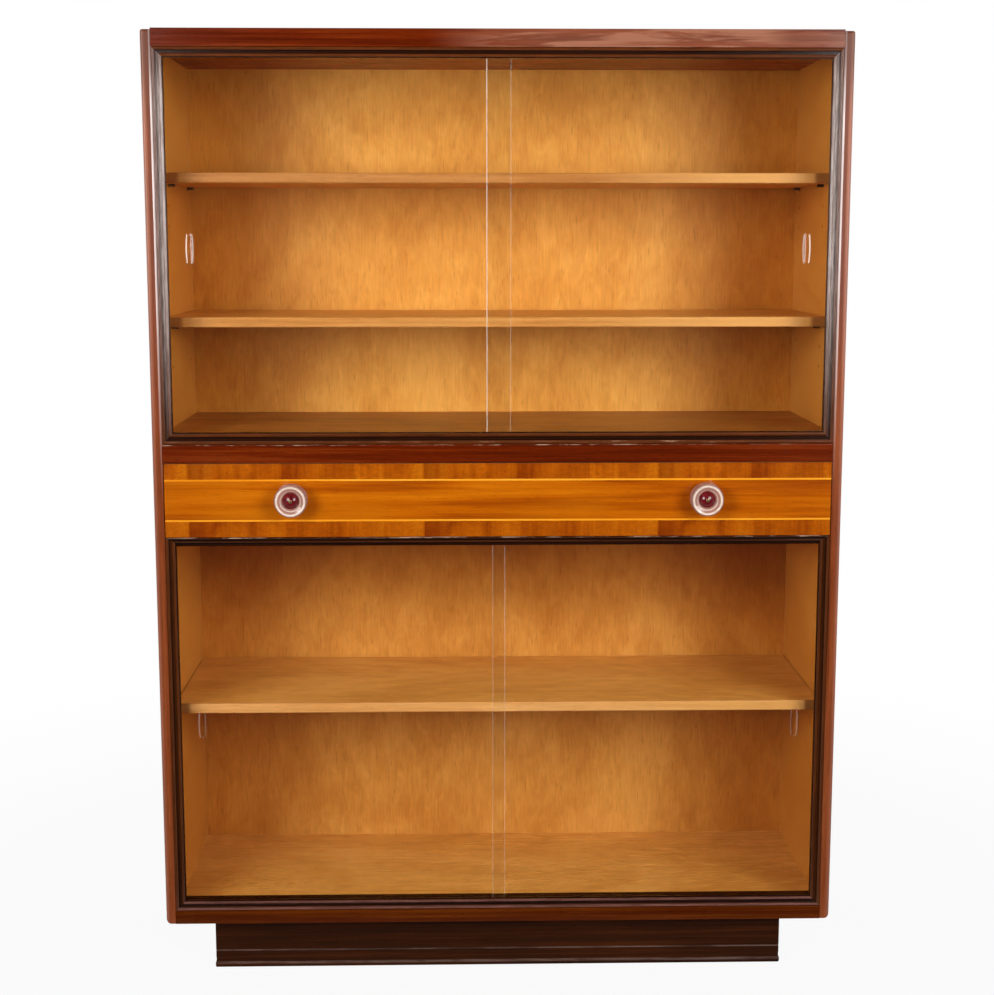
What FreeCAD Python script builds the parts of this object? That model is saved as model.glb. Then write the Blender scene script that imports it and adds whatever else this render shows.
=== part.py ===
import FreeCAD, Part
import math
import os

# Bookcase with two pairs of sliding glass panes and a drawer between them.
# Millimetres, X to the right, Y to the back, Z up, origin on the floor under the middle.

V = FreeCAD.Vector
X_AXIS = V(1, 0, 0)
Y_AXIS = V(0, 1, 0)
Z_AXIS = V(0, 0, 1)
OVERRUN = 5.0

# Driving dimensions of the case
case_width = 1100.0
case_depth = 372.0
plinth_height = 95.5
side_thick = 16.0
top_thick = 27.5
floor_thick = 16.0
bottom_thick = 22.0
lower_clear = 610.0
drawer_clear = 120.0
mid_rail_height = 29.0
upper_clear = 599.0

# Side panels
side_drop = 2.0
side_arris = 4.0
side_inner_arris = 2.5
side_top_round = 5.0
side_foot_round = 10.0
side_foot_arris = 1.0

# Edge strips and rails of the front
lipping_depth = 8.0
mid_rail_depth = 22.0
rail_arris = 1.5

# Back panels
back_thick = 4.0
back_inset = 4.0
back_lap = 8.0
back_play = 0.5

# Mitred moulding frames: widths seen from the front, and depths behind the front plane
moulding_back = 14.0
stile_width = 16.5
upper_top_bar = 16.0
upper_bottom_bar = 19.0
lower_top_bar = 10.0
lower_bottom_bar = 15.5
outer_bead_share = 0.32
inner_bead_start_share = 0.64
inner_bead_end_share = 0.93
outer_bead_crown = 0.8
outer_bead_spring = 2.6
groove_floor = 7.0
inner_bead_crown = 4.2
inner_bead_spring = 5.6
lip_front = 9.5

# Double tracks of the panes
glass_thick = 4.0
glass_side_play = 0.4
track_front_wall = 2.4
track_mid_wall = 2.8
track_rear_wall = 3.2
upper_sill_height = 8.0
upper_head_height = 14.5
lower_sill_height = 14.5
lower_head_height = 12.0
sill_groove = 4.5
upper_head_groove = 9.5
lower_head_groove = 9.0
pane_bite = 3.5

# Panes and their ground finger pulls
upper_overlap = 39.0
lower_overlap = 21.0
pane_edge_play = 1.0
pull_inset = 48.0
pull_length = 46.0
pull_width = 12.0
pull_end_width = 9.0
pull_depth = 1.6

# Adjustable shelves on pins
shelf_thick = 16.0
shelf_side_play = 1.5
shelf_back_play = 3.0
shelf_lipping = 5.0
shelf_arris = 1.0
upper_shelf_setback = 78.0
lower_shelf_setback = 48.0
top_shelf_rise = 395.5
low_shelf_rise = 166.0
lower_shelf_rise = 323.5
pin_radius = 2.5
pin_reach = 11.0
pin_sunk = 9.0
pin_hole_depth = 10.0
pin_pitch = 32.7
pin_front_place = 130.0
pin_back_inset = 39.0
spare_holes = 2

# Plinth
plinth_side_inset = 74.0
plinth_front_inset = 45.0
plinth_back_inset = 30.0
plinth_thick = 18.0
plinth_flare = 1.2
plinth_bead_height = 11.0
plinth_cove_height = 18.0
plinth_groove_place = 29.5
plinth_groove_width = 1.6
plinth_groove_depth = 1.2
glue_block_side = 30.0
glue_block_height = 60.0

# Drawer
drawer_front_height = 118.0
drawer_front_thick = 18.0
drawer_lift = 0.8
drawer_side_gap = 1.5
veneer_thick = 1.0
crossband_height = 25.0
string_height = 3.0
crossband_first = 38.5
crossband_leaf = 375.0
drawer_wall = 12.0
drawer_side_height = 110.0
drawer_length = 345.0
drawer_back_height = 88.0
drawer_bottom_thick = 4.0
drawer_bottom_rise = 11.0
drawer_bottom_groove = 5.0
drawer_bottom_play = 0.3
tails_each = 4
tail_width = 17.0
tail_neck = 13.0
kicker_width = 22.0
kicker_gap = 2.0
stop_width = 40.0
stop_length = 14.0
stop_height = 9.0
stop_gap = 0.3
stop_place = 380.0

# Knobs, measured from the middle of the case and outward from the drawer front
knob_place = 330.0
knob_raise = 3.0
knob_reach = 34.0
knob_stem_radius = 12.0
knob_stem_length = 5.0
knob_rim_radius = 26.0
knob_waist_radius = 24.4
knob_waist_steps = 3
knob_rear_rim = 9.0
knob_front_bevel = 2.5
knob_dish_radius = 16.5
knob_dish_lip = 1.5
knob_dish_floor = 26.0
dome_radius = 13.2
dome_rise = 6.8
bolt_radius = 2.0
bolt_play = 0.3
bolt_head_radius = 3.0
bolt_head_rise = 1.2
bolt_tail = 8.0
nut_across_flats = 8.0
nut_height = 4.0

# Places worked out from the sizes above
half_width = case_width / 2
half_clear = half_width - side_thick
front = (knob_reach - case_depth) / 2
back = front + case_depth
back_panel_front = back - back_inset - back_thick
case_base = plinth_height
lower_floor = case_base + bottom_thick
lower_ceiling = lower_floor + lower_clear
drawer_floor = lower_ceiling + floor_thick
drawer_ceiling = drawer_floor + drawer_clear
upper_board_under = drawer_ceiling + mid_rail_height
upper_floor = upper_board_under + floor_thick
upper_ceiling = upper_floor + upper_clear
case_top = upper_ceiling + top_thick
side_top = case_top - side_drop
back_seam = (upper_board_under + upper_floor) / 2
groove_width = glass_thick + glass_side_play * 2
track_front = front + moulding_back
front_groove = track_front + track_front_wall
rear_groove = front_groove + groove_width + track_mid_wall
track_back = rear_groove + groove_width + track_rear_wall


def block(x0, x1, y0, y1, z0, z1):
    """A box between two corners."""
    return Part.makeBox(x1 - x0, y1 - y0, z1 - z0, V(x0, y0, z0))


def rod(radius, length, start, direction):
    """A round bar."""
    return Part.makeCylinder(radius, length, start, direction)


def prism(points, push):
    """A straight prism over a flat outline."""
    outline = Part.makePolygon(points + points[:1])
    return Part.Face(outline).extrude(push)


def cut_all(shape, tools):
    """The shape with every tool taken out of it."""
    return shape.cut(tools) if tools else shape


def mirrored(shape):
    """The same shape on the other side of the middle."""
    return shape.mirror(V(0, 0, 0), X_AXIS)


def soften(shape, radius, wanted):
    """Fillets the edges whose middle passes the test."""
    chosen = [e for e in shape.Edges if wanted(e.CenterOfMass)]
    return shape.makeFillet(radius, chosen)


def near(value, target):
    """True if two places are the same within a hair."""
    return abs(value - target) < Part.Precision.approximation() * case_depth


def save(name, shape):
    """Writes one node and prints its facts."""
    shape.exportStep(os.path.join("parts", name + ".step"))
    print(name, len(shape.Solids), round(shape.Volume), shape.isValid())


# Case

def pin_columns():
    """The depths of the two columns of pin holes."""
    return front + pin_front_place, back_panel_front - pin_back_inset


def shelf_undersides():
    """The heights of the undersides of the three shelves."""
    return upper_floor + top_shelf_rise, upper_floor + low_shelf_rise, lower_floor + lower_shelf_rise


def pin_holes():
    """The heights of the holes in a column: one for each pin, and spare ones below the two upper shelves."""
    top, low, lower = [underside - pin_radius for underside in shelf_undersides()]
    steps = range(spare_holes + 1)
    return [high - pin_pitch * step for high in (top, low) for step in steps] + [lower]


def rounded_outline(place, length, depth, start_round, end_round):
    """A face of one length and depth, with its two corners at depth 0 rounded. Place maps both."""
    corner = 1 - math.sqrt(0.5)
    edges = [
        Part.Arc(
            place(0, start_round),
            place(start_round * corner, start_round * corner),
            place(start_round, 0),
        ),
        Part.LineSegment(place(start_round, 0), place(length - end_round, 0)),
        Part.Arc(
            place(length - end_round, 0),
            place(length - end_round * corner, end_round * corner),
            place(length, end_round),
        ),
        Part.LineSegment(place(length, end_round), place(length, depth)),
        Part.LineSegment(place(length, depth), place(0, depth)),
        Part.LineSegment(place(0, depth), place(0, start_round)),
    ]
    return Part.Face(Part.Wire([e.toShape() for e in edges]))


def left_side():
    """A side panel with rounded front edges, a rebate for the back and holes for the shelf pins."""
    out = -half_width
    inner = -half_clear
    height = side_top - case_base
    seen_from_front = rounded_outline(
        lambda along, deep: V(out + deep, front, case_base + along),
        height, side_thick, side_foot_round, side_top_round,
    )
    seen_from_above = rounded_outline(
        lambda along, deep: V(out + along, front + deep, case_base),
        side_thick, case_depth, side_arris, side_inner_arris,
    )
    seen_from_side = rounded_outline(
        lambda along, deep: V(out, front + deep, case_base + along),
        height, case_depth, side_foot_arris, side_arris,
    )
    panel = seen_from_front.extrude(V(0, case_depth, 0))
    panel = panel.common(seen_from_above.extrude(V(0, 0, height)))
    panel = panel.common(seen_from_side.extrude(V(side_thick, 0, 0)))
    tools = [
        block(
            inner - back_lap,
            inner + OVERRUN,
            back_panel_front,
            back + OVERRUN,
            lower_floor - back_lap,
            upper_ceiling + back_lap,
        )
    ]
    for y in pin_columns():
        for z in pin_holes():
            tools.append(rod(pin_radius, pin_hole_depth, V(inner - pin_hole_depth, y, z), X_AXIS))
    return panel.cut(tools)


def top_board():
    """The top, rebated below at the back."""
    board = block(-half_clear, half_clear, front + lipping_depth, back, upper_ceiling, case_top)
    rebate = block(
        -half_clear - OVERRUN,
        half_clear + OVERRUN,
        back_panel_front,
        back + OVERRUN,
        upper_ceiling - OVERRUN,
        upper_ceiling + back_lap,
    )
    return board.cut(rebate)


def bottom_board():
    """The bottom, rebated above at the back."""
    board = block(-half_clear, half_clear, front + lipping_depth, back, case_base, lower_floor)
    rebate = block(
        -half_clear - OVERRUN,
        half_clear + OVERRUN,
        back_panel_front,
        back + OVERRUN,
        lower_floor - back_lap,
        lower_floor + OVERRUN,
    )
    return board.cut(rebate)


def front_strip(depth, low, high):
    """A strip across the front with a softened upper edge."""
    strip = block(-half_clear, half_clear, front, front + depth, low, high)
    return soften(strip, rail_arris, lambda p: near(p.y, front) and near(p.z, high))


def upper_floor_board():
    """The floor of the upper case, rebated in front for its track."""
    board = block(
        -half_clear, half_clear, track_front, back_panel_front, upper_board_under, upper_floor
    )
    seat = block(
        -half_clear - OVERRUN,
        half_clear + OVERRUN,
        track_front - OVERRUN,
        track_back,
        upper_floor - upper_sill_height,
        upper_floor + OVERRUN,
    )
    return board.cut(seat)


def drawer_floor_board():
    """The board under the drawer, rebated below in front for the head track."""
    board = block(
        -half_clear, half_clear, track_front, back_panel_front, lower_ceiling, drawer_floor
    )
    seat = block(
        -half_clear - OVERRUN,
        half_clear + OVERRUN,
        track_front - OVERRUN,
        track_back,
        lower_ceiling - OVERRUN,
        lower_ceiling + lower_head_height,
    )
    return board.cut(seat)


def back_panel(low, high):
    """A thin panel in the rebates."""
    reach = half_clear + back_lap - back_play
    return block(-reach, reach, back_panel_front, back_panel_front + back_thick, low, high)


# Mitred moulding frames

def moulding_section(width, place):
    """The face of a bar with two beads, a groove between them and a lip. Place maps width and depth."""
    outer_end = width * outer_bead_share
    inner_start = width * inner_bead_start_share
    inner_end = width * inner_bead_end_share
    corners = [
        (0, moulding_back),
        (0, outer_bead_spring),
        (outer_end, outer_bead_spring),
        (outer_end, groove_floor),
        (inner_start, groove_floor),
        (inner_start, inner_bead_spring),
        (inner_end, inner_bead_spring),
        (inner_end, lip_front),
        (width, lip_front),
        (width, moulding_back),
    ]
    crowns = {
        1: (outer_end / 2, outer_bead_crown),
        5: ((inner_start + inner_end) / 2, inner_bead_crown),
    }
    edges = []
    for n, start in enumerate(corners):
        end = corners[(n + 1) % len(corners)]
        if n in crowns:
            edges.append(Part.Arc(place(*start), place(*crowns[n]), place(*end)).toShape())
        else:
            edges.append(Part.LineSegment(place(*start), place(*end)).toShape())
    return Part.Face(Part.Wire(edges))


def moulding_frame(low, high, top_bar, bottom_bar):
    """Four bars whose ends meet in mitres, as a table of shapes."""
    in_x = half_clear - stile_width
    in_low = low + bottom_bar
    in_high = high - top_bar
    y0 = front - OVERRUN
    deep = V(0, moulding_back + OVERRUN * 2, 0)
    corner = {
        "ll": (V(-half_clear, y0, low), V(-in_x, y0, in_low)),
        "lr": (V(half_clear, y0, low), V(in_x, y0, in_low)),
        "ul": (V(-half_clear, y0, high), V(-in_x, y0, in_high)),
        "ur": (V(half_clear, y0, high), V(in_x, y0, in_high)),
    }

    def mitred(section, push, a, b):
        (a_out, a_in), (b_out, b_in) = corner[a], corner[b]
        return section.extrude(push).common(prism([a_out, b_out, b_in, a_in], deep))

    across = V(half_clear * 2, 0, 0)
    up = V(0, 0, high - low)
    return {
        "top": mitred(
            moulding_section(top_bar, lambda w, d: V(-half_clear, front + d, high - w)),
            across, "ul", "ur",
        ),
        "bottom": mitred(
            moulding_section(bottom_bar, lambda w, d: V(-half_clear, front + d, low + w)),
            across, "ll", "lr",
        ),
        "left": mitred(
            moulding_section(stile_width, lambda w, d: V(-half_clear + w, front + d, low)),
            up, "ll", "ul",
        ),
        "right": mitred(
            moulding_section(stile_width, lambda w, d: V(half_clear - w, front + d, low)),
            up, "lr", "ur",
        ),
    }


# Double tracks

def track(low, high, groove_low, groove_high):
    """A strip across the case with a groove for each pane."""
    strip = block(-half_clear, half_clear, track_front, track_back, low, high)
    grooves = [
        block(
            -half_clear - OVERRUN, half_clear + OVERRUN, y, y + groove_width, groove_low, groove_high
        )
        for y in (front_groove, rear_groove)
    ]
    return cut_all(strip, grooves)


def sill_track(top, height):
    """A lower track, grooved from above."""
    return track(top - height, top, top - sill_groove, top + OVERRUN)


def head_track(underside, height, groove):
    """An upper track, grooved from below."""
    return track(underside, underside + height, underside - OVERRUN, underside + groove)


# Glass panes

def finger_pull(x, y, z):
    """The tool that grinds a pull: a shallow round trough with bowed sides and flat ends."""
    half_length = pull_length / 2
    bow = pull_width / 2
    end = pull_end_width / 2
    corners = [
        V(x - end, y - OVERRUN, z - half_length),
        V(x - bow, y - OVERRUN, z),
        V(x - end, y - OVERRUN, z + half_length),
        V(x + end, y - OVERRUN, z + half_length),
        V(x + bow, y - OVERRUN, z),
        V(x + end, y - OVERRUN, z - half_length),
    ]
    edges = [
        Part.Arc(corners[0], corners[1], corners[2]).toShape(),
        Part.LineSegment(corners[2], corners[3]).toShape(),
        Part.Arc(corners[3], corners[4], corners[5]).toShape(),
        Part.LineSegment(corners[5], corners[0]).toShape(),
    ]
    barrel = Part.Face(Part.Wire(edges)).extrude(V(0, OVERRUN + pull_depth * 2, 0))
    wheel = (bow ** 2 + pull_depth ** 2) / (pull_depth * 2)
    start = V(x, y + pull_depth - wheel, z - half_length - OVERRUN)
    return barrel.common(rod(wheel, pull_length + OVERRUN * 2, start, Z_AXIS))


def pane(x0, x1, groove, low, high, pull_x):
    """A sheet of glass with a ground finger pull in its front face."""
    y0 = groove + glass_side_play
    sheet = block(x0, x1, y0, y0 + glass_thick, low, high)
    return sheet.cut(finger_pull(pull_x, y0, (low + high) / 2))


def pane_pair(low, high, overlap):
    """The left pane in the rear track and the right pane in the front track."""
    reach = half_clear - pane_edge_play
    pull = half_clear - pull_inset
    left = pane(-reach, overlap / 2, rear_groove, low, high, -pull)
    right = pane(-overlap / 2, reach, front_groove, low, high, pull)
    return left, right


# Shelves

def shelf(underside, setback):
    """A loose shelf board and the lipping on its front edge."""
    reach = half_clear - shelf_side_play
    y0 = front + setback
    seam = y0 + shelf_lipping
    y1 = back_panel_front - shelf_back_play
    board = block(-reach, reach, seam, y1, underside, underside + shelf_thick)
    strip = block(-reach, reach, y0, seam, underside, underside + shelf_thick)
    arrises = [e for e in strip.Edges if near(e.CenterOfMass.y, y0) and near(e.CenterOfMass.x, 0)]
    return board, strip.makeChamfer(shelf_arris, arrises)


def shelf_pins():
    """Four round pins under each of the three shelves."""
    pins = []
    for underside in shelf_undersides():
        z = underside - pin_radius
        for y in pin_columns():
            start = V(-half_clear - pin_sunk, y, z)
            pin = rod(pin_radius, pin_sunk + pin_reach, start, X_AXIS)
            pins.append(pin)
            pins.append(mirrored(pin))
    return Part.makeCompound(pins)


# Plinth

def plinth_section(place):
    """The face of a plinth board: plain above a groove, with a cove and a bead at the floor."""
    half_groove = plinth_groove_width / 2
    lower_lip = plinth_groove_place - half_groove
    upper_lip = plinth_groove_place + half_groove
    bead = plinth_bead_height
    cove = plinth_cove_height
    corner = math.sqrt(0.5)
    cove_mid = (plinth_flare * (1 - corner), cove - (cove - bead) * corner)
    parts = [
        Part.LineSegment(place(-plinth_thick, 0), place(0, 0)),
        Part.Arc(place(0, 0), place(plinth_flare, bead / 2), place(0, bead)),
        Part.Arc(place(0, bead), place(-cove_mid[0], (bead + cove) / 2), place(0, cove)),
        Part.LineSegment(place(0, cove), place(0, lower_lip)),
        Part.LineSegment(place(0, lower_lip), place(-plinth_groove_depth, lower_lip)),
        Part.LineSegment(
            place(-plinth_groove_depth, lower_lip), place(-plinth_groove_depth, upper_lip)
        ),
        Part.LineSegment(place(-plinth_groove_depth, upper_lip), place(0, upper_lip)),
        Part.LineSegment(place(0, upper_lip), place(0, plinth_height)),
        Part.LineSegment(place(0, plinth_height), place(-plinth_thick, plinth_height)),
        Part.LineSegment(place(-plinth_thick, plinth_height), place(-plinth_thick, 0)),
    ]
    return Part.Face(Part.Wire([p.toShape() for p in parts]))


def plinth():
    """Front and side boards mitred together, a plain back board and glue blocks."""
    face_x = half_width - plinth_side_inset
    face_y = front + plinth_front_inset
    rear = back - plinth_back_inset
    out_x = face_x + plinth_flare
    out_y = face_y - plinth_flare
    in_x = face_x - plinth_thick
    in_y = face_y + plinth_thick
    up = V(0, 0, plinth_height)
    front_wedge = prism([V(-out_x, out_y, 0), V(out_x, out_y, 0), V(in_x, in_y, 0), V(-in_x, in_y, 0)], up)
    side_wedge = prism([V(-out_x, out_y, 0), V(-in_x, in_y, 0), V(-in_x, rear, 0), V(-out_x, rear, 0)], up)
    across = plinth_section(lambda o, z: V(-out_x, face_y - o, z)).extrude(V(out_x * 2, 0, 0))
    along = plinth_section(lambda o, z: V(-face_x - o, out_y, z)).extrude(V(0, rear - out_y, 0))
    left = along.common(side_wedge)
    back_board = block(-in_x, in_x, rear - plinth_thick, rear, 0, plinth_height)
    blocks = []
    base = plinth_height - glue_block_height
    for y in (in_y, rear - plinth_thick - glue_block_side):
        corner = block(-in_x, -in_x + glue_block_side, y, y + glue_block_side, base, plinth_height)
        blocks.append(corner)
        blocks.append(mirrored(corner))
    return {
        "plinth_front": across.common(front_wedge),
        "plinth_left": left,
        "plinth_right": mirrored(left),
        "plinth_back": back_board,
        "plinth_glue_blocks": Part.makeCompound(blocks),
    }


# Drawer

drawer_half = half_clear - drawer_side_gap
core_front = front + veneer_thick
core_back = core_front + drawer_front_thick
drawer_front_low = drawer_floor + drawer_lift
drawer_front_high = drawer_front_low + drawer_front_height
drawer_rear = front + drawer_length
drawer_side_top = drawer_floor + drawer_side_height
drawer_bottom_low = drawer_floor + drawer_bottom_rise
drawer_bottom_high = drawer_bottom_low + drawer_bottom_thick
knob_height = (drawer_front_low + drawer_front_high) / 2 + knob_raise


def tails(base, tip):
    """The dovetails on one end of the left drawer side, from their necks to their wide ends."""
    pitch = drawer_side_height / tails_each
    outer = -drawer_half
    made = []
    for n in range(tails_each):
        z = drawer_floor + pitch * (n + 1 / 2)
        points = [
            V(outer, base, z - tail_neck / 2),
            V(outer, base, z + tail_neck / 2),
            V(outer, tip, z + tail_width / 2),
            V(outer, tip, z - tail_width / 2),
        ]
        made.append(prism(points, V(drawer_wall, 0, 0)))
    return made


def front_tails():
    """The lapped tails that enter the drawer front."""
    return tails(core_back, core_back - drawer_wall)


def rear_tails():
    """The through tails that enter the drawer back."""
    return tails(drawer_rear - drawer_wall, drawer_rear)


def drawer_back_zone():
    """The place of the drawer back."""
    return block(
        -drawer_half,
        drawer_half,
        drawer_rear - drawer_wall,
        drawer_rear,
        drawer_bottom_high,
        drawer_bottom_high + drawer_back_height,
    )


def drawer_left_side():
    """A drawer side with tails at both ends and a groove for the bottom."""
    wall_in = -drawer_half + drawer_wall
    board = block(-drawer_half, wall_in, core_back, drawer_rear, drawer_floor, drawer_side_top)
    pins = cut_all(drawer_back_zone(), rear_tails())
    groove = block(
        wall_in - drawer_bottom_groove,
        wall_in + OVERRUN,
        core_back - OVERRUN,
        drawer_rear + OVERRUN,
        drawer_bottom_low,
        drawer_bottom_high,
    )
    side = board.cut([pins, groove])
    joined = side.fuse(front_tails()).removeSplitter()
    return joined.cut(groove)


def drawer_back():
    """The drawer back, cut for the tails of both sides."""
    left = rear_tails()
    return cut_all(drawer_back_zone(), left + [mirrored(t) for t in left])


def drawer_bottom():
    """A thin panel in the grooves of the sides and the front."""
    reach = drawer_half - drawer_wall + drawer_bottom_groove - drawer_bottom_play
    return block(
        -reach,
        reach,
        core_back - drawer_bottom_groove + drawer_bottom_play,
        drawer_rear,
        drawer_bottom_low,
        drawer_bottom_high,
    )


def bolt_bores():
    """The bores of both knob bolts through the drawer front."""
    return [
        rod(
            bolt_radius + bolt_play,
            drawer_front_thick + OVERRUN * 2,
            V(x, front - OVERRUN, knob_height),
            Y_AXIS,
        )
        for x in (-knob_place, knob_place)
    ]


def drawer_front_core():
    """The drawer front behind its veneer, with sockets for the tails and a groove for the bottom."""
    core = block(
        -drawer_half, drawer_half, core_front, core_back, drawer_front_low, drawer_front_high
    )
    reach = drawer_half - drawer_wall + drawer_bottom_groove
    groove = block(
        -reach,
        reach,
        core_back - drawer_bottom_groove,
        core_back + OVERRUN,
        drawer_bottom_low,
        drawer_bottom_high,
    )
    sockets = front_tails()
    sockets = sockets + [mirrored(t) for t in sockets]
    return cut_all(core, sockets + [groove] + bolt_bores())


def veneer_piece(x0, x1, z0, z1):
    """One flat piece of veneer on the drawer front."""
    return cut_all(block(x0, x1, front, core_front, z0, z1), bolt_bores())


def veneers():
    """The veneered face: a centre field, stringing above and below it, and crossbanding in leaves."""
    inner_low = drawer_front_low + crossband_height
    inner_high = drawer_front_high - crossband_height
    field_low = inner_low + string_height
    field_high = inner_high - string_height
    seams = [-drawer_half]
    seam = -drawer_half + crossband_first
    while seam < drawer_half:
        seams.append(seam)
        seam += crossband_leaf
    seams.append(drawer_half)
    leaves = []
    for low, high in ((drawer_front_low, inner_low), (inner_high, drawer_front_high)):
        for x0, x1 in zip(seams, seams[1:]):
            leaves.append(block(x0, x1, front, core_front, low, high))
    strings = [
        block(-drawer_half, drawer_half, front, core_front, inner_low, field_low),
        block(-drawer_half, drawer_half, front, core_front, field_high, inner_high),
    ]
    return {
        "drawer_centre_veneer": veneer_piece(-drawer_half, drawer_half, field_low, field_high),
        "drawer_stringing": Part.makeCompound(strings),
        "drawer_crossbanding": Part.makeCompound(leaves),
    }


def kickers():
    """Strips over the drawer sides that keep the open drawer from tipping."""
    left = block(
        -half_clear,
        -half_clear + kicker_width,
        front + mid_rail_depth,
        back_panel_front,
        drawer_side_top + kicker_gap,
        upper_board_under,
    )
    return Part.makeCompound([left, mirrored(left)])


def drawer_stops():
    """Blocks under the drawer bottom that stop the drawer front when it closes."""
    y0 = core_back + stop_gap
    left = block(
        -stop_place - stop_width / 2,
        -stop_place + stop_width / 2,
        y0,
        y0 + stop_length,
        drawer_floor,
        drawer_floor + stop_height,
    )
    return Part.makeCompound([left, mirrored(left)])


# Knobs

def spun(points):
    """A closed outline of radius and reach, turned about the bolt of a knob at the origin."""
    outline = Part.Face(Part.makePolygon(points + points[:1]))
    return outline.revolve(V(0, 0, 0), Y_AXIS, 360)


def at(radius, reach):
    """A point beside the bolt, measured outward from the drawer front."""
    return V(radius, -reach, 0)


def waist():
    """The hollow between the two rims: steps along a circular arc."""
    low = knob_rear_rim
    high = knob_reach - knob_front_bevel
    half = (high - low) / 2
    sag = knob_rim_radius - knob_waist_radius
    circle = (half ** 2 + sag ** 2) / (sag * 2)
    span = math.asin(half / circle)
    points = []
    for step in range(knob_waist_steps + 1):
        turn = span * (step * 2 / knob_waist_steps - 1)
        drop = circle * (1 - math.cos(turn))
        points.append(at(knob_waist_radius + drop, low + half + circle * math.sin(turn)))
    return points


def knob_body():
    """A thick clear disc on a stem, waisted between its rims, dished in front round the dome."""
    bore = bolt_radius + bolt_play
    rear = [
        at(bore, 0),
        at(knob_stem_radius, 0),
        at(knob_stem_radius, knob_stem_length),
    ]
    dish = [
        at(knob_rim_radius - knob_front_bevel, knob_reach),
        at(knob_dish_radius, knob_reach - knob_dish_lip),
        at(dome_radius, knob_dish_floor),
        at(bore, knob_dish_floor),
    ]
    return spun(rear + waist() + dish)


def knob_dome():
    """A coloured dome on the floor of the dish, bored for the bolt."""
    bore = bolt_radius + bolt_play
    ball = (dome_radius ** 2 + dome_rise ** 2) / (dome_rise * 2)
    centre = at(0, knob_dish_floor + dome_rise - ball)
    cap = Part.makeSphere(ball, centre).common(rod(dome_radius, ball * 2, at(0, knob_dish_floor), -Y_AXIS))
    return cap.cut(rod(bore, ball * 2, at(0, knob_dish_floor), -Y_AXIS))


def knob_bolt():
    """A bolt with a flat round head, through the knob and the drawer front."""
    seat = knob_dish_floor + dome_rise
    end = veneer_thick + drawer_front_thick + bolt_tail
    shank = rod(bolt_radius, end + seat, V(0, end, 0), -Y_AXIS)
    head = rod(bolt_head_radius, bolt_head_rise, at(0, seat), -Y_AXIS)
    return shank.fuse(head)


def knob_nut():
    """A hexagon nut on the inside of the drawer front."""
    face = veneer_thick + drawer_front_thick
    corner = nut_across_flats / math.sqrt(3)
    hexagon = [
        V(corner * math.cos(math.pi / 3 * n), face, corner * math.sin(math.pi / 3 * n))
        for n in range(6)
    ]
    bore = rod(bolt_radius, nut_height, V(0, face, 0), Y_AXIS)
    return prism(hexagon, V(0, nut_height, 0)).cut(bore)


def knob_pair(shape):
    """The same piece on both knobs."""
    pair = []
    for x in (-knob_place, knob_place):
        piece = shape.copy()
        piece.translate(V(x, front, knob_height))
        pair.append(piece)
    return Part.makeCompound(pair)


def build():
    """Every node by name."""
    nodes = {}
    side = left_side()
    nodes["left_side_panel"] = side
    nodes["right_side_panel"] = mirrored(side)
    nodes["top_board"] = top_board()
    nodes["top_rail"] = front_strip(lipping_depth, upper_ceiling, case_top)
    nodes["upper_floor_board"] = upper_floor_board()
    nodes["mid_rail"] = front_strip(mid_rail_depth, drawer_ceiling, upper_board_under)
    nodes["drawer_floor_board"] = drawer_floor_board()
    nodes["bottom_board"] = bottom_board()
    nodes["bottom_rail"] = front_strip(lipping_depth, case_base, lower_floor)
    back_low = lower_floor - back_lap + back_play
    back_high = upper_ceiling + back_lap - back_play
    nodes["lower_back_panel"] = back_panel(back_low, back_seam)
    nodes["upper_back_panel"] = back_panel(back_seam, back_high)

    upper_frame = moulding_frame(upper_board_under, upper_ceiling, upper_top_bar, upper_bottom_bar)
    lower_frame = moulding_frame(lower_floor, drawer_floor, lower_top_bar, lower_bottom_bar)
    for name, frame in (("upper", upper_frame), ("lower", lower_frame)):
        for bar, shape in frame.items():
            nodes[name + "_moulding_" + bar] = shape

    upper_head = upper_ceiling - upper_head_height
    lower_sill = lower_floor + lower_sill_height
    nodes["upper_sill_track"] = sill_track(upper_floor, upper_sill_height)
    nodes["upper_head_track"] = head_track(upper_head, upper_head_height, upper_head_groove)
    nodes["lower_sill_track"] = sill_track(lower_sill, lower_sill_height)
    nodes["lower_head_track"] = head_track(lower_ceiling, lower_head_height, lower_head_groove)

    left, right = pane_pair(upper_floor - sill_groove, upper_head + pane_bite, upper_overlap)
    nodes["upper_left_pane"] = left
    nodes["upper_right_pane"] = right
    left, right = pane_pair(lower_sill - sill_groove, lower_ceiling + pane_bite, lower_overlap)
    nodes["lower_left_pane"] = left
    nodes["lower_right_pane"] = right

    names = ("upper_shelf_top", "upper_shelf_low", "lower_shelf")
    setbacks = (upper_shelf_setback, upper_shelf_setback, lower_shelf_setback)
    for name, underside, setback in zip(names, shelf_undersides(), setbacks):
        board, strip = shelf(underside, setback)
        nodes[name] = board
        nodes[name + "_lipping"] = strip
    nodes["shelf_pins"] = shelf_pins()

    nodes.update(plinth())

    drawer_side = drawer_left_side()
    nodes["drawer_front_core"] = drawer_front_core()
    nodes.update(veneers())
    nodes["drawer_left_side"] = drawer_side
    nodes["drawer_right_side"] = mirrored(drawer_side)
    nodes["drawer_back"] = drawer_back()
    nodes["drawer_bottom"] = drawer_bottom()
    nodes["drawer_kickers"] = kickers()
    nodes["drawer_stops"] = drawer_stops()

    nodes["knob_bodies"] = knob_pair(knob_body())
    nodes["knob_domes"] = knob_pair(knob_dome())
    nodes["knob_bolts"] = knob_pair(knob_bolt())
    nodes["knob_nuts"] = knob_pair(knob_nut())
    return nodes


os.makedirs("parts", exist_ok=True)
for node, solid in build().items():
    save(node, solid)
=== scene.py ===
import math

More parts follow.
